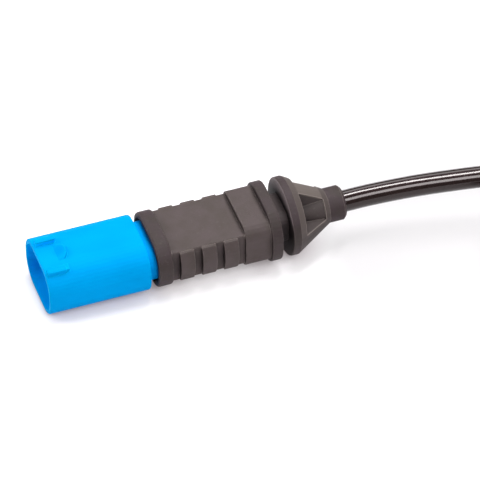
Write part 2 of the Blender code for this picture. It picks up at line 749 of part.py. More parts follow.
def on_coil(angle, radius, height):
    """A place on or over the coil, by its angle round the coil's centre."""
    return from_mouth(COIL_CENTRE_X + radius * math.cos(angle),
                      COIL_CENTRE_Y + radius * math.sin(angle), height)


def cable_lead():
    """Free cable from the boot to where it lies on the coil."""
    route = [on_axis(SHEATH_END + CABLE_JOINT_GAP),
             on_axis(BOOT_END + 6 * MM),
             from_mouth(80 * MM, -0.75 * MM, 9.7 * MM),
             from_mouth(88 * MM, -2.1 * MM, 10.4 * MM),
             from_mouth(95 * MM, -3.5 * MM, 11.0 * MM),
             from_mouth(103 * MM, -5.1 * MM, 11.5 * MM),
             from_mouth(110 * MM, -6.25 * MM, ON_COIL_HEIGHT),
             on_coil(math.pi / 2, COIL_RADIUS, ON_COIL_HEIGHT)]
    free_cable("cable_lead", route)


def cable_coil():
    """The cable's coiled length, as one ring with the bundle's outline."""
    half = COIL_HEIGHT / 2
    section = rounded_outline(COIL_HEIGHT, COIL_HEIGHT, CABLE_RADIUS, 4)
    profile = [(COIL_RADIUS + across, half + up) for across, up in section]
    profile.append(profile[0])
    coil = turned("cable_coil", profile, None, CABLE_SHEATH)
    coil.rotation_euler = (0.0, -math.pi / 2, 0.0)
    coil.location = from_mouth(COIL_CENTRE_X, COIL_CENTRE_Y, 0.0)
    return coil


def cable_tail():
    """Free cable from the coil to the sensor head, lying along the coil's top."""
    route = []
    steps = 4
    for step in range(steps + 1):
        t = step / steps
        route.append(on_coil(TAIL_START_ANGLE + (TAIL_END_ANGLE - TAIL_START_ANGLE) * t,
                             TAIL_START_RADIUS + (TAIL_END_RADIUS - TAIL_START_RADIUS) * t,
                             ON_COIL_HEIGHT + (HEAD_HEIGHT - ON_COIL_HEIGHT) * t ** 2))
    straight = Vector((math.sin(TAIL_END_ANGLE), -math.cos(TAIL_END_ANGLE), 0.0))
    in_head = SLEEVE_LENGTH + HEAD_BORE_DEPTH
    route.append(route[-1] + straight * in_head / 2)
    route.append(route[-1] + straight * in_head / 2)
    free_cable("cable_tail", route)


def head_sleeve(axis):
    """Rubber strain relief round the cable behind the sensor head."""
    outer = [(SLEEVE_END_RADIUS, 0.0),
             (SLEEVE_RADIUS, SLEEVE_LENGTH * 0.5),
             (SLEEVE_RADIUS, SLEEVE_LENGTH)]
    return turned("head_sleeve", ring_profile(CABLE_RADIUS + SEAT_GAP, outer), axis,
                  BLACK_RUBBER)


def sensor_head(axis):
    """Plastic head: block for the clip, and a nose with a groove for the wear loop."""
    start = SLEEVE_LENGTH + SEAT_GAP
    shoulder = start + HEAD_LENGTH
    tip = shoulder + NOSE_LENGTH
    head = plate("sensor_head",
                 rounded_outline(HEAD_WIDTH, HEAD_THICKNESS, HEAD_CORNER, 4),
                 start, shoulder, axis, HEAD_PLASTIC)
    round_edges(head, OUTER_EDGE, 2)
    nose = plate("nose", rounded_outline(NOSE_WIDTH, NOSE_THICKNESS, HEAD_CORNER, 4),
                 shoulder - JOIN, tip, axis)
    round_edges(nose, OUTER_EDGE, 2)
    combine(head, "UNION", [nose])
    half = LOOP_GROOVE_WIDTH / 2
    floor = NOSE_WIDTH / 2 - LOOP_GROOVE_DEPTH
    groove = boxes("loop_groove", [((shoulder + INNER_GAP, -NOSE_WIDTH, -half),
                                    (tip + JOIN, NOSE_WIDTH, half))], axis)
    kept = boxes("loop_seat", [((shoulder - JOIN, -floor, -2 * half),
                                (tip - LOOP_GROOVE_DEPTH, floor, 2 * half))], axis)
    combine(groove, "DIFFERENCE", [kept])
    bore = round_bar("head_bore", CABLE_RADIUS + SEAT_GAP, start - JOIN,
                     start + HEAD_BORE_DEPTH, axis, steps=24)
    combine(head, "DIFFERENCE", [groove, bore])
    return head


def wear_loop(axis):
    """The wire loop in the nose's groove, which the brake's disc wears through."""
    start = SLEEVE_LENGTH + SEAT_GAP + HEAD_LENGTH + 2 * INNER_GAP
    tip = SLEEVE_LENGTH + SEAT_GAP + HEAD_LENGTH + NOSE_LENGTH
    outward = NOSE_WIDTH / 2 - LOOP_GROOVE_DEPTH + INNER_GAP + LOOP_WIRE_RADIUS
    front = tip - LOOP_GROOVE_DEPTH + INNER_GAP + LOOP_WIRE_RADIUS
    half = [(start, outward, 0.0)]
    for step in range(6):
        angle = math.radians(90) * step / 5
        half.append((front - LOOP_BEND + LOOP_BEND * math.sin(angle),
                     outward - LOOP_BEND + LOOP_BEND * math.cos(angle), 0.0))
    other = [(x, -y, z) for x, y, z in reversed(half)]
    return wire("wear_loop", half + other, LOOP_WIRE_RADIUS, axis, COPPER, 1)


def spring_clip(axis):
    """Folded spring steel round the head's block, with two flared arms."""
    start = SLEEVE_LENGTH + SEAT_GAP + CLIP_SETBACK
    inner_y = HEAD_WIDTH / 2 + INNER_GAP
    outer_y = inner_y + CLIP_THICKNESS
    inner_z = -HEAD_THICKNESS / 2 - INNER_GAP
    outer_z = inner_z - CLIP_THICKNESS
    top = HEAD_THICKNESS / 2
    half = [(outer_y, outer_z), (outer_y, top), (outer_y + CLIP_FLARE, top + CLIP_FLARE),
            (outer_y + CLIP_FLARE - CLIP_THICKNESS, top + CLIP_FLARE + CLIP_THICKNESS),
            (inner_y, top + CLIP_THICKNESS / 2), (inner_y, inner_z)]
    other = [(-y, z) for y, z in reversed(half)]
    return plate("spring_clip", half + other, start, start + CLIP_LENGTH, axis,
                 SPRING_STEEL)


def build():
    """Every piece, in the order in which the sensor is put together."""
    axis = make_axis("connector_axis",
                     (MOUTH_X, 0.0, MOUTH_MIDDLE_HEIGHT), REST_ANGLE)
    connector_housing(axis)
    for side, y in contact_places():
        contact_pin(side, y, axis)
        conductor(side, y, axis)
        wire_seal(side, y, axis)
        core_insulation(side, y, axis)
    cable_end(axis)
    rubber_boot(axis)
    cable_lead()
    cable_coil()
    cable_tail()
    head_axis = make_axis("head_axis",
                          on_coil(TAIL_END_ANGLE, TAIL_END_RADIUS, HEAD_HEIGHT),
                          heading=TAIL_END_ANGLE - math.pi / 2)
    head_sleeve(head_axis)
    sensor_head(head_axis)
    wear_loop(head_axis)
    spring_clip(head_axis)


build()
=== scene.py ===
# %% [markdown]
# # Brake pad wear sensor
#
# A wear sensor tells the driver that a brake pad is thin. It has a two-contact connector in
# a rubber boot, a cable, and a head that sits in the pad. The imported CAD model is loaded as
# a fixed frame, and this script adds the camera, the free cable, the materials, the floor
# and the light of a product photograph on white paper. Every length is in metres.

# %% Load the frame
import json
import math

import bpy
from mathutils import Matrix, Vector


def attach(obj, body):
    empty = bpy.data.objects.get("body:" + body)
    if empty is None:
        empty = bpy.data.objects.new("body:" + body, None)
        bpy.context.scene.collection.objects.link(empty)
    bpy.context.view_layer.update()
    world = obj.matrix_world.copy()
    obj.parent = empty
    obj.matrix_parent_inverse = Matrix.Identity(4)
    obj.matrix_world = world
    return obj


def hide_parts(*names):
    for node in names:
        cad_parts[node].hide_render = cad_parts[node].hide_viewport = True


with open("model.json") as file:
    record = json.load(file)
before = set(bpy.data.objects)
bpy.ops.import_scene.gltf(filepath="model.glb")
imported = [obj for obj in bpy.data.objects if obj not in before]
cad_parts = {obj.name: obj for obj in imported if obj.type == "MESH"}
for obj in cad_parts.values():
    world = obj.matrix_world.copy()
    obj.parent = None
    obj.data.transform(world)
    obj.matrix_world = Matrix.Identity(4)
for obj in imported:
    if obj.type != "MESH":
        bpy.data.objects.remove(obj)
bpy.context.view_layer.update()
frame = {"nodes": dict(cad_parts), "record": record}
print("CAD nodes:", ", ".join(sorted(frame["nodes"])))

# %% [markdown]
# ## The connector's axis
#
# The real connector lies on the table on its mouth's lower edge and on the boot's disc, and
# the disc is the larger, so the connector is tipped by a few degrees. Places could be given
# in the scene's own X and Z. They are given along the tipped axis instead, because the
# CAD model's sizes run along it too.

# %% The connector's axis
MM = 0.001
DISC_RADIUS = 8.2 * MM
DISC_START = 51.65 * MM
SHROUD_HEIGHT = 11.4 * MM
OUTER_EDGE = 0.3 * MM
REST_ANGLE = math.atan2(DISC_RADIUS - SHROUD_HEIGHT / 2, DISC_START)
MOUTH_X = -32.274 * MM
MOUTH_HEIGHT = (OUTER_EDGE * (1 - math.sin(REST_ANGLE))
                + (SHROUD_HEIGHT / 2 - OUTER_EDGE) * math.cos(REST_ANGLE))
ON_AXIS = (Matrix.Translation((MOUTH_X, 0, MOUTH_HEIGHT))
           @ Matrix.Rotation(-REST_ANGLE, 4, "Y"))


def from_mouth(along, y, z):
    """A place in the scene, with the distance along X taken from the mouth."""
    return Vector((MOUTH_X + along, y, z))


print("the axis rises by", round(math.degrees(REST_ANGLE), 2), "degrees")

# %% [markdown]
# ## Camera
#
# The photograph was taken with a long lens, from about a metre away. A camera could be
# aimed with a Track To constraint. Here its matrix is built from two angles, a roll and a
# distance, because those could be fitted to the edges of the mouth, the boot and the disc.

# %% Camera
VIEW_AZIMUTH = math.radians(-21.92)
VIEW_ELEVATION = math.radians(43.67)
VIEW_ROLL = math.radians(3.61)
VIEW_DISTANCE = 1010.7 * MM
VIEW_TARGET = Vector((7.27, -8.57, 12.81)) * MM
FOCAL_LENGTH_IN_PIXELS = 5053.5
PICTURE_WIDTH = 480
SENSOR_WIDTH = 36.0

camera_data = bpy.data.cameras.new("camera")
camera_data.sensor_width = SENSOR_WIDTH
camera_data.lens = SENSOR_WIDTH * FOCAL_LENGTH_IN_PIXELS / PICTURE_WIDTH
camera_data.clip_end = 10.0
camera = bpy.data.objects.new("camera", camera_data)
bpy.context.scene.collection.objects.link(camera)
back = Vector((math.sin(VIEW_AZIMUTH) * math.cos(VIEW_ELEVATION),
               -math.cos(VIEW_AZIMUTH) * math.cos(VIEW_ELEVATION),
               math.sin(VIEW_ELEVATION)))
level = (-back).to_track_quat("-Z", "Y").to_matrix().to_4x4()
camera.matrix_world = (Matrix.Translation(VIEW_TARGET + back * VIEW_DISTANCE)
                       @ level @ Matrix.Rotation(VIEW_ROLL, 4, "Z"))
bpy.context.scene.camera = camera
print("camera at", [round(c, 3) for c in camera.matrix_world.translation])

# %% [markdown]
# ## The cable's route
#
# The sheathed cable leaves the boot, bends a little to the right and passes out of the
# picture. There it is coiled for storage, two strands wide and two high, and its last turn
# comes up on top and ends in the sensor head. A spiral would be simpler, but its strands
# would not lie on each other. So each strand keeps its place in the bundle for most of a
# turn, then moves over into the place that the strand before it has just left.

# %% The coil's strands
CABLE_RADIUS = 2.25 * MM
COIL_CENTRE = from_mouth(117.0 * MM, -30.2 * MM, 0.0)
COIL_RADIUS = 23.5 * MM
COIL_HEIGHT = 4 * CABLE_RADIUS
SEAT_GAP = 0.3 * MM
CLIP_DEPTH = 3.85 * MM
ON_COIL = COIL_HEIGHT + SEAT_GAP + CABLE_RADIUS
HEAD_HEIGHT = COIL_HEIGHT + SEAT_GAP + CLIP_DEPTH
TAIL_RISE_RADIUS = 22.3 * MM
TAIL_END_RADIUS = 21.3 * MM
INNER, OUTER = COIL_RADIUS - CABLE_RADIUS, COIL_RADIUS + CABLE_RADIUS
LOW, HIGH = CABLE_RADIUS, 3 * CABLE_RADIUS

# Each row: degrees turned when the move to this place starts and ends, radius, height
MOVES = [(0, 80, OUTER, ON_COIL), (15, 110, OUTER, HIGH), (275, 360, OUTER, LOW),
         (550, 670, INNER, LOW), (875, 975, INNER, HIGH),
         (1130, 1240, TAIL_RISE_RADIUS, ON_COIL),
         (1145, 1270, TAIL_END_RADIUS, HEAD_HEIGHT)]


def on_coil(turned, radius, height):
    """A place over the coil, by the angle turned clockwise since the cable arrived."""
    angle = math.pi / 2 - turned
    x, y = radius * math.cos(angle), radius * math.sin(angle)
    return COIL_CENTRE + Vector((x, y, height))


def strand_place(degrees):
    """Radius and height in the bundle after turning so many degrees."""
    radius, height = COIL_RADIUS, ON_COIL
    for start, end, next_radius, next_height in MOVES:
        t = min(1.0, max(0.0, (degrees - start) / (end - start)))
        ease = t * t * (3 - 2 * t)
        radius += (next_radius - radius) * ease
        height += (next_height - height) * ease
    return radius, height


print("the coil is", round(2 * (OUTER + CABLE_RADIUS) / MM, 1), "mm across")

# %% [markdown]
# The route starts inside the boot's collar, where the CAD model's own length of cable ends.
# The photograph shows only the first 27 mm, so the points after that are a free choice: a
# gentle bend as far as the coil, then the moves above. Two straight steps lead into the
# head's strain relief.

# %% The route's points
BOOT_END = 64.75 * MM
SHEATH_END = BOOT_END - 0.8 * MM
CABLE_JOINT_GAP = 0.3 * MM
EXIT = ON_AXIS @ Vector((SHEATH_END + CABLE_JOINT_GAP, 0, 0))
DEGREES_TURNED, DEGREES_PER_POINT = 1270, 10
TAIL_END_ANGLE = math.radians(-100)
TAIL_STEP = 5 * MM

route = [EXIT,
         ON_AXIS @ Vector((BOOT_END + 6 * MM, 0, 0)),
         from_mouth(80 * MM, -0.75 * MM, 9.7 * MM),
         from_mouth(88 * MM, -2.1 * MM, 10.4 * MM),
         from_mouth(95 * MM, -3.5 * MM, 11.0 * MM),
         from_mouth(103 * MM, -5.1 * MM, 11.5 * MM),
         from_mouth(110 * MM, -6.25 * MM, ON_COIL)]
for degrees in range(0, DEGREES_TURNED + 1, DEGREES_PER_POINT):
    route.append(on_coil(math.radians(degrees), *strand_place(degrees)))
straight = Vector((math.sin(TAIL_END_ANGLE), -math.cos(TAIL_END_ANGLE), 0.0))
for _ in range(2):
    route.append(route[-1] + straight * TAIL_STEP)
print("route points:", len(route))

# %% [markdown]
# ## The cable
#
# A stiff cable has no corners. Bezier handles could round the route, but they would have to
# be set one by one. A Catmull-Rom curve passes through every point by itself, and its
# summed steps give its length.

# %% The centre line
CENTRE_LINE_STEP = 2.5 * MM


def smooth(points, step):
    """Points about one step apart on a Catmull-Rom curve through the given points."""
    ends = [2 * points[0] - points[1], *points, 2 * points[-1] - points[-2]]
    result = [points[0]]
    for before, first, second, after in zip(ends, ends[1:], ends[2:], ends[3:]):
        pieces = max(1, round((second - first).length / step))
        for piece in range(1, pieces + 1):
            t = piece / pieces
            result.append(0.5 * (2 * first + (second - before) * t
                                 + (2 * before - 5 * first + 4 * second - after) * t ** 2
                                 + (3 * first - before - 3 * second + after) * t ** 3))
    return result


centre_line = smooth(route, CENTRE_LINE_STEP)
length = sum((b - a).length for a, b in zip(centre_line, centre_line[1:]))
print("cable length", round(length, 4), "m, in", len(centre_line), "points")

# %% [markdown]
# The real sheath is a round extrusion. It could be a swept mesh, but a curve with a round
# bevel stays easy to edit. A curve's box counts each point's radius as a length, so the
# bevel is left at 1 and the point's radius is the cable's own.

# %% The cable
cable_curve = bpy.data.curves.new("sensor_cable", "CURVE")
cable_curve.dimensions = "3D"
cable_curve.bevel_depth = 1.0
cable_curve.bevel_resolution = 6
cable_curve.use_fill_caps = True
spline = cable_curve.splines.new("POLY")
spline.points.add(len(centre_line) - 1)
for point, place in zip(spline.points, centre_line):
    point.co = (*place, 1.0)
    point.radius = CABLE_RADIUS
spline.use_smooth = True
cable = bpy.data.objects.new("sensor_cable", cable_curve)
bpy.context.scene.collection.objects.link(cable)
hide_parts("cable_lead", "cable_coil", "cable_tail")
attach(cable, "root")
print("cable box:", [round(size, 4) for size in cable.dimensions])

# %% [markdown]
# ## Shader arithmetic
#
# A finish is a sum of effects: grain, dust, painted highlights on edges, painted shade in
# grooves. The nodes could be placed and linked one by one. A `Socket` wraps one output of a
# node, and adding or multiplying two of them makes the maths node that does so, so a
# material below reads as sums and products.

# %% Socket


class Socket:
    """A shader node's output that arithmetic works on."""

    def __init__(self, tree, output):
        self.tree = tree
        self.output = output

    def node(self, kind, settings=None, inputs=None, output=0):
        """Any node of the same material: its settings, its inputs, one of its outputs."""
        made = self.tree.nodes.new(kind)
        for name, value in (settings or {}).items():
            setattr(made, name, value)
        for name, value in (inputs or {}).items():
            if isinstance(value, Socket):
                self.tree.links.new(value.output, made.inputs[name])
            else:
                made.inputs[name].default_value = value
        return Socket(self.tree, made.outputs[output])

    def maths(self, operation, first, second):
        return self.node("ShaderNodeMath", {"operation": operation}, {0: first, 1: second})

    def vector(self, operation, first, second, output="Vector"):
        return self.node("ShaderNodeVectorMath", {"operation": operation},
                         {0: first, 1: second}, output)

    def __add__(self, other):
        return self.maths("ADD", self, other)

    def __radd__(self, other):
        return self.maths("ADD", other, self)

    def __sub__(self, other):
        return self.maths("SUBTRACT", self, other)

    def __rsub__(self, other):
        return self.maths("SUBTRACT", other, self)

    def __mul__(self, other):
        return self.maths("MULTIPLY", self, other)

    def __rmul__(self, other):
        return self.maths("MULTIPLY", other, self)

    def __pow__(self, other):
        return self.maths("POWER", self, other)

    def __rpow__(self, other):
        return self.maths("POWER", other, self)

    def between(self, low, high):
        """0 below low, 1 above high, smooth between them."""
        return self.node("ShaderNodeMapRange", {"interpolation_type": "SMOOTHSTEP"},
                         {"Value": self, "From Min": low, "From Max": high})

    def mix(self, first, second):
        """The first colour where this is 0 and the second where it is 1."""
        pair = [colour if isinstance(colour, Socket) else (*colour, 1.0)
                for colour in (first, second)]
        return self.node("ShaderNodeMix", {"data_type": "RGBA"},
                         {"Factor": self, 6: pair[0], 7: pair[1]}, 2)


print("Socket works with + - * ** and has node, between and mix")

# %% [markdown]
# Every material starts from Blender's Principled shader and from object coordinates. UVs
# could be used instead, but they would have to suit every mesh. Object coordinates are in
# metres here, so a grain of a quarter of a millimetre can be written as one.

# %% Starting a material


def start_material(name):
    """A new material: its Principled node and its object coordinates."""
    material = bpy.data.materials.new(name)
    material.use_nodes = True
    tree = material.node_tree
    coordinates = Socket(tree, tree.nodes.new("ShaderNodeTexCoord").outputs["Object"])
    return material, tree.nodes["Principled BSDF"], coordinates


def set_inputs(shader, **values):
    """Give a shader's inputs numbers or sockets; an underscore stands for a space."""
    for name, value in values.items():
        target = shader.inputs[name.replace("_", " ")]
        if isinstance(value, Socket):
            shader.id_data.links.new(value.output, target)
        else:
            target.default_value = value


print("materials start from the Principled shader")

# %% [markdown]
# ## What every finish is made of
#
# Real mouldings have fine grain and larger blots; light leaves pale lines on their edges and
# shade in their grooves, and these are painted here as painted highlights and painted shade.
# They could be painted by hand on an image. These helpers work them out from the shape, so
# they fit every piece and stay sharp from close by.

# %% Grain, edges and grooves


def noise(coordinates, size, detail, stretch=(1, 1, 1)):
    """Noise with blots about the given size in metres, stretched along an axis."""
    placed = coordinates.node("ShaderNodeMapping", None,
                              {"Vector": coordinates,
                               "Scale": tuple(1 / (size * s) for s in stretch)})
    return coordinates.node("ShaderNodeTexNoise", None,
                            {"Vector": placed, "Scale": 1.0, "Detail": detail})


def surface_normal(coordinates):
    """The direction that the surface faces."""
    return coordinates.node("ShaderNodeNewGeometry", None, None, "Normal")


def edge_light(coordinates, radius):
    """Near 1 on outer and inner edges, 0 on flat and gently curved surfaces."""
    rounded = coordinates.node("ShaderNodeBevel", {"samples": 6}, {"Radius": radius})
    same = coordinates.vector("DOT_PRODUCT", rounded, surface_normal(coordinates), "Value")
    return (1.0 - same).between(0.01, 0.2)


def openness(coordinates, reach):
    """1 on open surfaces, near 0 in grooves and recesses narrower than the reach."""
    return coordinates.node("ShaderNodeAmbientOcclusion", {"samples": 8},
                            {"Distance": reach}, "AO")


def bump(coordinates, height, distance):
    """A normal for a surface raised by height times distance, in metres."""
    return coordinates.node("ShaderNodeBump", None,
                            {"Height": height, "Distance": distance})


print("helpers: noise, surface_normal, edge_light, openness, bump")

# %% [markdown]
# ## Places on the connector
#
# The photograph shows one moulding that is paler on its grip and that gets painted light and
# shade on its cone and its disc. The CAD model could be split there, but the real boot is one
# piece. A shader can tell where it is instead: this turns object coordinates into places on
# the tipped axis.

# %% Places on the connector


def connector_places(coordinates):
    """Distance along the connector's tipped axis, across it, and above it."""
    x, y, z = (coordinates.node("ShaderNodeSeparateXYZ", None, {0: coordinates}, name)
               for name in "XYZ")
    cos, sin = math.cos(REST_ANGLE), math.sin(REST_ANGLE)
    return ((x - MOUTH_X) * cos + (z - MOUTH_HEIGHT) * sin, y,
            (z - MOUTH_HEIGHT) * cos - (x - MOUTH_X) * sin)


def faces_axis(coordinates):
    """1 on walls that face the connector's axis, such as the inside of the mouth."""
    from_axis = coordinates.vector("SUBTRACT", coordinates, (0.0, 0.0, MOUTH_HEIGHT))
    across = coordinates.vector("MULTIPLY", from_axis, (0.0, 1.0, 1.0))
    normal = surface_normal(coordinates)
    outward = coordinates.vector("DOT_PRODUCT", across, normal, "Value")
    return 1.0 - outward.between(-1.0 * MM, 0.0)


print("the mouth's middle is", round(MOUTH_HEIGHT / MM, 2), "mm above the table")

# %% [markdown]
# ## Blue plastic
#
# The connector is moulded in satin blue plastic, with faint flow marks and a fine grain; its
# edges get a painted highlight and its grooves a painted shade. In the photograph the inside
# of the mouth is still a clear blue, where plain shade would leave it almost black.
# Subsurface scattering could light it through the thin walls, but it renders more slowly, so
# the walls that face the axis get a brighter blue, which is painted light. The foot of the
# latch ramp is in shade in the photograph and gets a painted shade.

# %% Blue plastic
RAMP_FOOT = 4.5 * MM
RAMP_Y = -0.3 * MM
BLUE, BLUE_FLOW = (0.0, 0.282, 0.66), (0.0, 0.310, 0.71)
BLUE_GROOVE_SHADE, BLUE_RAMP_FOOT_SHADE = (0.0, 0.25, 0.66), (0.0, 0.17, 0.50)
BLUE_INSIDE_LIGHT, BLUE_EDGE_HIGHLIGHT = (0.0, 0.46, 1.0), (0.0, 0.60, 0.84)


def blue_plastic():
    """Satin moulded plastic: faint flow marks, fine grain, painted highlights on its edges,
    painted shade in grooves and at the ramp's foot, painted light inside the mouth.
    """
    material, shader, at = start_material("blue_plastic_surface")
    flow = noise(at, 6 * MM, 3.0, (2.5, 1, 1))
    grain = noise(at, 0.25 * MM, 2.0)
    scuffs = noise(at, 1.2 * MM, 5.0, (4, 1, 1)).between(0.62, 0.75)
    colour = flow.between(0.3, 0.7).mix(BLUE, BLUE_FLOW)
    # Painted shade: a darker blue in grooves and narrow recesses.
    colour = openness(at, 2.0 * MM).between(0.3, 0.9).mix(BLUE_GROOVE_SHADE, colour)
    # Painted light: a brighter blue on the walls that face the axis, inside the mouth.
    colour = faces_axis(at).mix(colour, BLUE_INSIDE_LIGHT)
    along, across, lift = connector_places(at)
    # Painted shade at the foot of the latch ramp, on the top side only.
    from_ramp = ((along - RAMP_FOOT) ** 2 + (across - RAMP_Y) ** 2) ** 0.5
    on_top = lift.between(5.0 * MM, 5.5 * MM)
    ramp_foot_shade = (1.0 - from_ramp.between(0.4 * MM, 1.9 * MM)) * on_top
    colour = (ramp_foot_shade * 0.35).mix(colour, BLUE_RAMP_FOOT_SHADE)
    # Painted highlight: a paler blue along edges.
    colour = (edge_light(at, 0.4 * MM) * 0.7).mix(colour, BLUE_EDGE_HIGHLIGHT)
    set_inputs(shader, Base_Color=colour,
               Roughness=0.40 + 0.10 * grain + 0.12 * scuffs,
               Specular_IOR_Level=0.03,
               IOR=1.15,
               Normal=bump(at, grain + 0.5 * flow, 0.01 * MM))
    return material


MATERIALS = {"blue_plastic": blue_plastic()}
print("blue plastic nodes:", len(MATERIALS["blue_plastic"].node_tree.nodes))

# %% [markdown]
# ## Black rubber
#
# The boot is one matt rubber moulding. In the photograph its grip, the web of its cone and
# its disc's front look paler than the rest, its edges carry a thin light line, and its
# grooves are almost black. One even black would lose all of that. The grip gets a paler
# rubber, the cone's web and the disc's front get painted light, the edges a painted
# highlight and the grooves a painted shade. Each stretch is found by its place along the
# axis and mixed in by its own mask.

# %% Stretches of the boot
GRIP_START, BAND_END = 26.1 * MM, 47.05 * MM
FLANGE_END = BAND_END + 2.3 * MM
CONE_START, CONE_END = 53.25 * MM, 61.05 * MM
CONE_END_RADIUS = 3.7 * MM
CONE_SLOPE = (CONE_END_RADIUS - DISC_RADIUS) / (CONE_END - CONE_START)
LEDGE_END = CONE_START + 1.4 * MM
RECESS_END = LEDGE_END + 5.25 * MM
SOFT = 0.1 * MM


def stretch_of_boot(along, start, end):
    """1 between two places along the connector and 0 elsewhere."""
    past_start = along.between(start - SOFT, start + SOFT)
    return past_start * (1.0 - along.between(end - SOFT, end))


def painted_light_on_cone(along, across, lift):
    """Mask of painted light: 1 on the outside of the cone's top, less on its ledge and past
    its recess.
    """
    from_axis = (across * across + lift * lift) ** 0.5
    depth = DISC_RADIUS + (along - CONE_START) * CONE_SLOPE - from_axis
    on_surface = 1.0 - depth.between(0.15 * MM, 0.5 * MM)
    past_ledge = along.between(LEDGE_END - 2 * SOFT, LEDGE_END + 2 * SOFT)
    past_recess = along.between(RECESS_END - 2 * SOFT, RECESS_END + 2 * SOFT)
    return (on_surface * (0.45 + 0.55 * past_ledge) * lift.between(-1.0 * MM, 2.0 * MM)
            * (1.0 - 0.7 * past_recess))


print("the cone narrows by", round(-CONE_SLOPE, 2), "mm in each mm")

# %% [markdown]
# The masks are laid over the smooth rubber one after another, as a painter would: grip,
# the painted light and shade of the cone, the painted sheen of the disc, dust and the painted
# highlights on edges first, then the painted shade of the grooves. The painted shade on the
# neck behind the flange comes last, because the painted shade of the grooves would turn it
# fully black.

# %% Black rubber
RUBBER, RUBBER_MOTTLE = (0.038, 0.028, 0.026), (0.046, 0.031, 0.035)
GRIP, GRIP_MOTTLE = (0.060, 0.046, 0.042), (0.071, 0.053, 0.053)
CONE_PAINTED_SHADE, CONE_PAINTED_LIGHT = (0.056, 0.043, 0.042), (0.118, 0.097, 0.088)
DISC_FACE_SHEEN, NECK_SHADE = (0.205, 0.168, 0.175), (0.055, 0.042, 0.043)
DUST, RUBBER_EDGE_HIGHLIGHT = (0.115, 0.098, 0.092), (0.34, 0.29, 0.265)
RUBBER_GROOVE_SHADE = (0.012, 0.008, 0.009)


def black_rubber():
    """Matt moulded rubber: paler on the grip, with painted light on the cone and the disc's
    front, painted highlights on edges and painted shade in grooves and on the neck.
    """
    material, shader, at = start_material("black_rubber_surface")
    mottle = noise(at, 3.5 * MM, 4.0)
    grain = noise(at, 0.3 * MM, 3.0)
    dust = noise(at, 0.8 * MM, 6.0).between(0.60, 0.78)
    blots = mottle.between(0.3, 0.7)
    along, across, lift = connector_places(at)
    colour = stretch_of_boot(along, GRIP_START, BAND_END).mix(
        blots.mix(RUBBER, RUBBER_MOTTLE), blots.mix(GRIP, GRIP_MOTTLE))
    # Painted light and shade on the cone: paler on the top of its web, darker in its recess,
    # on its ledge and on its lower side.
    colour = stretch_of_boot(along, CONE_START, CONE_END).mix(
        colour, painted_light_on_cone(along, across, lift).mix(CONE_PAINTED_SHADE, CONE_PAINTED_LIGHT))
    # Painted sheen on the upper part of the disc's front face.
    disc_face_sheen = (stretch_of_boot(along, DISC_START - 0.2 * MM, DISC_START + 0.12 * MM)
                 * lift.between(2.0 * MM, 5.0 * MM))
    colour = disc_face_sheen.mix(colour, DISC_FACE_SHEEN)
    colour = (dust * 0.3).mix(colour, DUST)
    # Painted highlight: a thin light line along edges.
    colour = (edge_light(at, 0.3 * MM) * 0.8).mix(colour, RUBBER_EDGE_HIGHLIGHT)
    # Painted shade: near black in grooves and narrow recesses.
    colour = openness(at, 4.0 * MM).between(0.15, 0.80).mix(RUBBER_GROOVE_SHADE, colour)
    # Painted shade on the upper part of the neck behind the flange, less dark than the
    # grooves' painted shade.
    neck = (stretch_of_boot(along, FLANGE_END + SOFT, DISC_START - SOFT)
            * lift.between(1.0 * MM, 3.5 * MM))
    colour = neck.mix(colour, NECK_SHADE)
    set_inputs(shader, Base_Color=colour,
               Roughness=0.52 + 0.16 * grain,
               Specular_IOR_Level=0.22,
               Normal=bump(at, grain + 0.6 * mottle, 0.025 * MM))
    return material


MATERIALS["black_rubber"] = black_rubber()
print("black rubber nodes:", len(MATERIALS["black_rubber"].node_tree.nodes))

# %% [markdown]
# ## Glossy cable
#
# The sheath is extruded, so it is smooth, glossy and faintly streaked along its length. A
# low roughness alone gives one kind of highlight. A clear coat over it adds the sharper
# stripe that a glossy sheath shows under a softbox.

# %% Glossy cable


def cable_sheath():
    """Glossy brown-black sheath with fine drawn streaks and a clear coat."""
    material, shader, at = start_material("cable_sheath_surface")
    streaks = noise(at, 0.5 * MM, 3.0, (14, 1, 1))
    waves = noise(at, 9 * MM, 2.0)
    set_inputs(shader, Base_Color=streaks.mix((0.009, 0.004, 0.004), (0.019, 0.010, 0.009)),
               Roughness=0.12 + 0.08 * streaks,
               Specular_IOR_Level=0.3,
               Specular_Tint=(1.0, 0.86, 0.86, 1.0),
               Coat_Weight=0.4,
               Coat_IOR=1.6,
               Coat_Roughness=0.08,
               Normal=bump(at, streaks + 2.0 * waves, 0.012 * MM))
    return material


MATERIALS["cable_sheath"] = cable_sheath()
cable_curve.materials.append(MATERIALS["cable_sheath"])
print("the cable's material:", cable_curve.materials[0].name)

# %% [markdown]
# ## Small pieces
#
# The contacts, wires, seals and the sensor head are small mouldings and drawn or folded
# metal. Each could have a material of its own, but they differ only in colour, roughness,
# metal and the direction of their grain, so one function makes them all.

# %% Small pieces


def small_piece(name, dark, light, roughness, metallic=0.0, stretch=(1, 1, 1)):
    """A moulded or drawn surface with grain, mottling and a painted highlight on its edges.
    """
    material, shader, at = start_material(name + "_surface")
    grain = noise(at, 0.2 * MM, 4.0, stretch)
    mottle = noise(at, 2.0 * MM, 3.0)
    colour = (0.5 * grain + 0.5 * mottle).between(0.35, 0.65).mix(dark, light)
    # Painted highlight: a paler colour along the edges.
    edge_highlight_colour = tuple(min(1.0, 1.5 * channel + 0.03) for channel in light)
    set_inputs(shader, Base_Color=(edge_light(at, 0.15 * MM) * 0.4).mix(colour, edge_highlight_colour),
               Roughness=roughness + 0.15 * grain,
               Metallic=metallic,
               Specular_IOR_Level=0.25,
               Normal=bump(at, grain, 0.01 * MM))
    return material


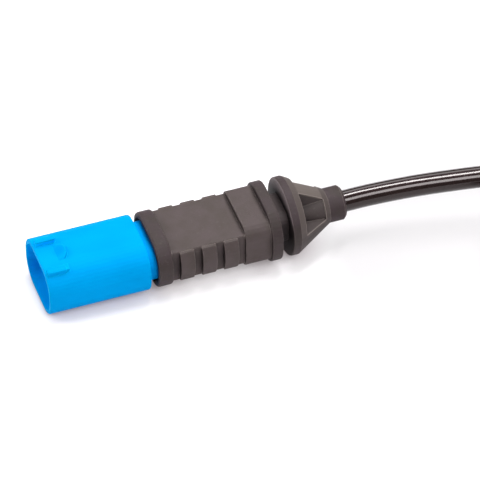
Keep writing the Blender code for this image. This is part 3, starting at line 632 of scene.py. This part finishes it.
# Each row: name, dark colour, light colour, roughness, metallic, stretch of the grain
for row in [
        ("tinned_brass", (0.62, 0.58, 0.52), (0.80, 0.76, 0.70), 0.22, 1.0, (6, 1, 1)),
        ("copper", (0.70, 0.30, 0.16), (0.88, 0.45, 0.28), 0.25, 1.0, (8, 1, 1)),
        ("core_plastic", (0.08, 0.035, 0.02), (0.12, 0.06, 0.035), 0.40),
        ("seal_rubber", (0.48, 0.16, 0.05), (0.60, 0.24, 0.08), 0.5),
        ("head_plastic", (0.018, 0.017, 0.018), (0.032, 0.030, 0.031), 0.45),
        ("spring_steel", (0.40, 0.40, 0.395), (0.56, 0.56, 0.55), 0.25, 1.0, (1, 8, 1))]:
    MATERIALS[row[0]] = small_piece(*row)
print("materials:", ", ".join(MATERIALS))

# %% [markdown]
# The CAD nodes keep their shapes and get a better finish. Materials could be assigned node
# by node. The record already says which slot each subpart takes, so the loop follows it.

# %% Finish the CAD nodes
for subpart in frame["record"]["subparts"]:
    node = frame["nodes"][subpart["node"]]
    for place in node.material_slots:
        place.link = "DATA"
        place.material = MATERIALS[subpart["material_slot"]]

# %% [markdown]
# ## Floor
#
# The photograph stands on white paper that is burnt out to pure white, with a soft shadow.
# More light would whiten the floor but would also bleach the object. So the camera and
# reflections see the floor partly as a glow, and the light that reaches it stays plain. The
# glow is darkened where the floor is hidden close under the object, a painted contact
# shadow. It is also dimmer over the whole floor on the cable's side, so that the cable's
# soft shadow is not burnt out too.

# %% Floor
FLOOR_REACH = 3.0
FLOOR_GLOW = 0.40
CABLE_SIDE_GLOW = 0.25
GLOW_STRENGTH = 1.62
FAR_START, FAR_END = 150 * MM, 450 * MM
CABLE_SIDE_START, CABLE_SIDE_END = 18 * MM, 32 * MM
CONTACT_SHADOW = (0.24, 0.19, 0.20)
WHITE, CABLE_SIDE_WHITE = (1.0, 1.0, 1.0), (0.54, 0.54, 0.54)


def white_paper():
    """Matt white paper that the camera sees partly as a glow, so its shadow is pale; the glow
    carries a painted contact shadow.
    """
    material, surface, at = start_material("white_paper")
    set_inputs(surface, Base_Color=(0.86, 0.82, 0.855, 1.0), Roughness=0.9,
               Specular_IOR_Level=0.0)
    seen = (at.node("ShaderNodeLightPath", None, None, "Is Camera Ray")
            + at.node("ShaderNodeLightPath", None, None, "Is Glossy Ray"))
    far = at.vector("LENGTH", at, (0.0, 0.0, 0.0), "Value").between(FAR_START, FAR_END)
    x = at.node("ShaderNodeSeparateXYZ", None, {0: at}, "X")
    cable_side = x.between(CABLE_SIDE_START, CABLE_SIDE_END) * (1.0 - far)
    share = seen * (FLOOR_GLOW + CABLE_SIDE_GLOW * cable_side + (1.0 - FLOOR_GLOW) * far)
    # Painted contact shadow: the glow darkens where the floor is hidden close under the
    # object.
    away = openness(at, 5 * MM).between(0.0, 1.0)
    colour = away.mix(CONTACT_SHADOW, cable_side.mix(WHITE, CABLE_SIDE_WHITE))
    glow = at.node("ShaderNodeEmission", None, {"Color": colour, "Strength": GLOW_STRENGTH})
    plain = Socket(material.node_tree, surface.outputs["BSDF"])
    mixed = at.node("ShaderNodeMixShader", None, {0: share, 1: plain, 2: glow})
    output = material.node_tree.nodes["Material Output"]
    material.node_tree.links.new(mixed.output, output.inputs["Surface"])
    return material


floor_mesh = bpy.data.meshes.new("floor")
floor_mesh.from_pydata([(-FLOOR_REACH, -FLOOR_REACH, 0), (FLOOR_REACH, -FLOOR_REACH, 0),
                        (FLOOR_REACH, FLOOR_REACH, 0), (-FLOOR_REACH, FLOOR_REACH, 0)],
                       [], [(0, 1, 2, 3)])
floor_mesh.materials.append(white_paper())
floor = bpy.data.objects.new("floor", floor_mesh)
bpy.context.scene.collection.objects.link(floor)
print("the floor is", 2 * FLOOR_REACH, "m across")

# %% [markdown]
# ## Light
#
# Product photographs are lit by softboxes, whose shapes show in glossy things. The cable in
# this one has a thin stripe and a wide one. A single sky light would show neither, so a
# narrow box overhead gives the thin stripe, a wide one in front gives the other, and two
# more fill the shade behind and on the left.

# %% Lights


def softbox(name, place, width, height, power):
    """A rectangular area light that points at the middle of the scene."""
    data = bpy.data.lights.new(name, "AREA")
    data.shape = "RECTANGLE"
    data.size = width
    data.size_y = height
    data.energy = power
    light = bpy.data.objects.new(name, data)
    light.location = place
    light.rotation_euler = (-Vector(place)).to_track_quat("-Z", "Y").to_euler()
    bpy.context.scene.collection.objects.link(light)


softbox("overhead", (0.20, 0.21, 0.84), 0.11, 0.8, 7.4)
softbox("front_fill", (0.12, -0.60, 0.78), 0.6, 0.40, 6.0)
softbox("back_fill", (0.27, 0.76, 0.6), 0.7, 0.4, 2.4)
softbox("left_fill", (-0.8, 0.4, 0.5), 0.4, 0.4, 5.0)
print("softboxes:", len(bpy.data.lights))

# %% [markdown]
# Some light comes from the whole room. A white world would give it, but at full strength it
# would flatten every shadow. So the world lights the scene weakly, and only rays straight
# from the camera see it as white, which keeps the background white in low views.

# %% World
WORLD_LIGHT = 0.16
world = bpy.data.worlds.new("studio")
bpy.context.scene.world = world
world.use_nodes = True
tree = world.node_tree
camera_ray = Socket(tree, tree.nodes.new("ShaderNodeLightPath").outputs["Is Camera Ray"])
set_inputs(tree.nodes["Background"], Color=(1, 1, 1, 1),
           Strength=camera_ray * (1.0 - WORLD_LIGHT) + WORLD_LIGHT)
bpy.context.scene.view_settings.view_transform = "Standard"
print("the world lights at", WORLD_LIGHT)

# %% [markdown]
# ## Finish
#

# %% Finish
print("the scene is built")
